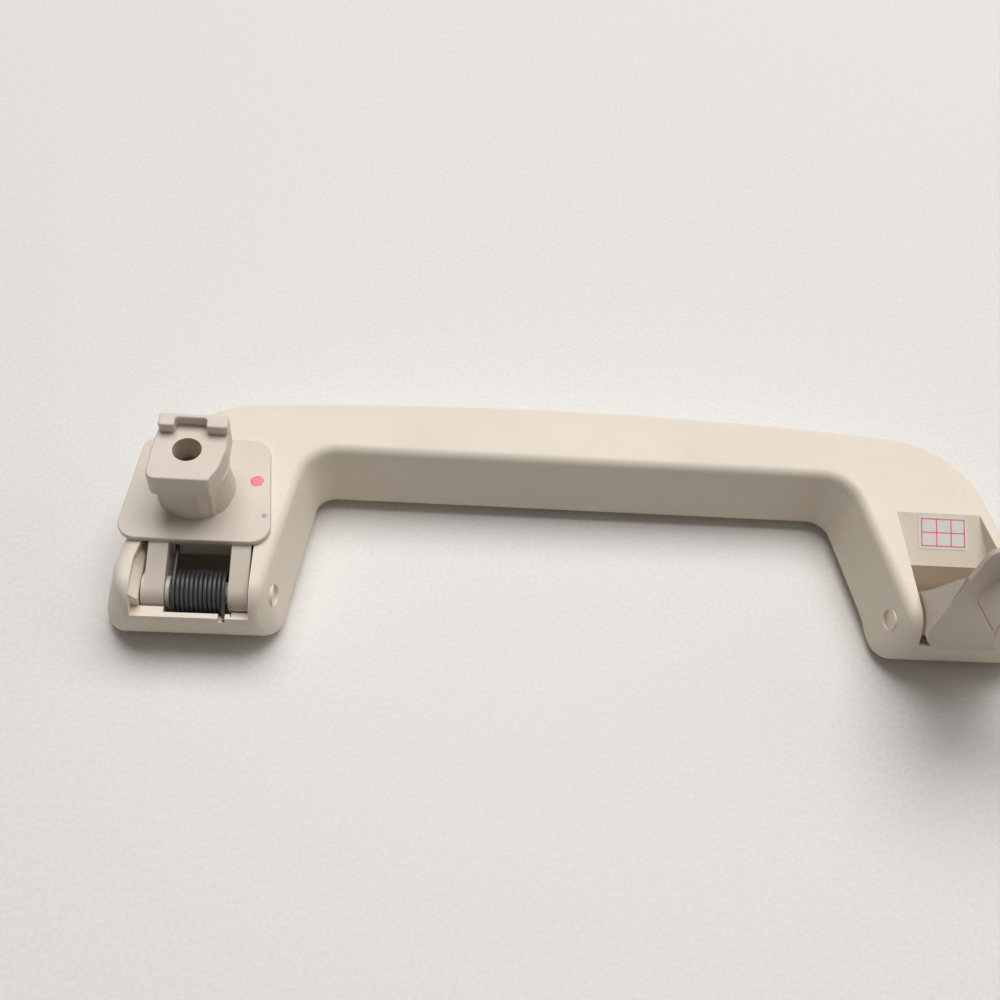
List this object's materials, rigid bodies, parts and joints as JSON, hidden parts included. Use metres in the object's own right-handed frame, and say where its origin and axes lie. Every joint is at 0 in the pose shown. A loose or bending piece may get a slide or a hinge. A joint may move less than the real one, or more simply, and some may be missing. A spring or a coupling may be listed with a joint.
{
  "type": "roof grab handle",
  "caption": "Vehicle roof grab handle with two folding screw brackets, one sprung by a torsion spring and one slowed by a damper.",
  "frame": {"origin": "middle of the footprint on the table plane, with the handle lying on its front face", "axes": "+X along the handle towards the damper end, +Y from the hinges towards the grip bar, +Z from the front face up to the mounting side"},
  "size_m": [0.2484, 0.0884, 0.0559],
  "materials": {
    "body": "fine satin grain",
    "bracket": "satin",
    "steel": "zinc plated",
    "spring": "oiled black",
    "bush": "natural",
    "damper": "satin black",
    "rotor": "natural",
    "seal": "greased",
    "paper": "matte"
  },
  "bodies": {
    "handle": {"handle_body": "body", "left_pin": "steel", "right_pin": "steel", "left_pin_plug": "body", "right_pin_plug": "body", "torsion_spring": "spring", "spring_bush": "bush", "damper_housing": "damper", "damper_cap": "damper", "damper_seal": "seal", "inspection_label": "paper"},
    "left_mount": {"left_bracket": "bracket"},
    "right_mount": {"right_bracket": "bracket", "damper_rotor": "rotor"}
  },
  "joints": [
    {"name": "left_hinge", "type": "hinge", "parent": "handle", "child": "left_mount", "pos_m": [0, -0.01886, 0.013], "axis": [1, 0, 0], "range_deg": [0, 84], "stiffness_Nm_per_rad": 0.08, "springref_deg": -68.75, "deforming": ["torsion_spring"]},
    {"name": "right_hinge", "type": "hinge", "parent": "handle", "child": "right_mount", "pos_m": [0, -0.01886, 0.013], "axis": [-1, 0, 0], "range_deg": [0, 84]}
  ]
}
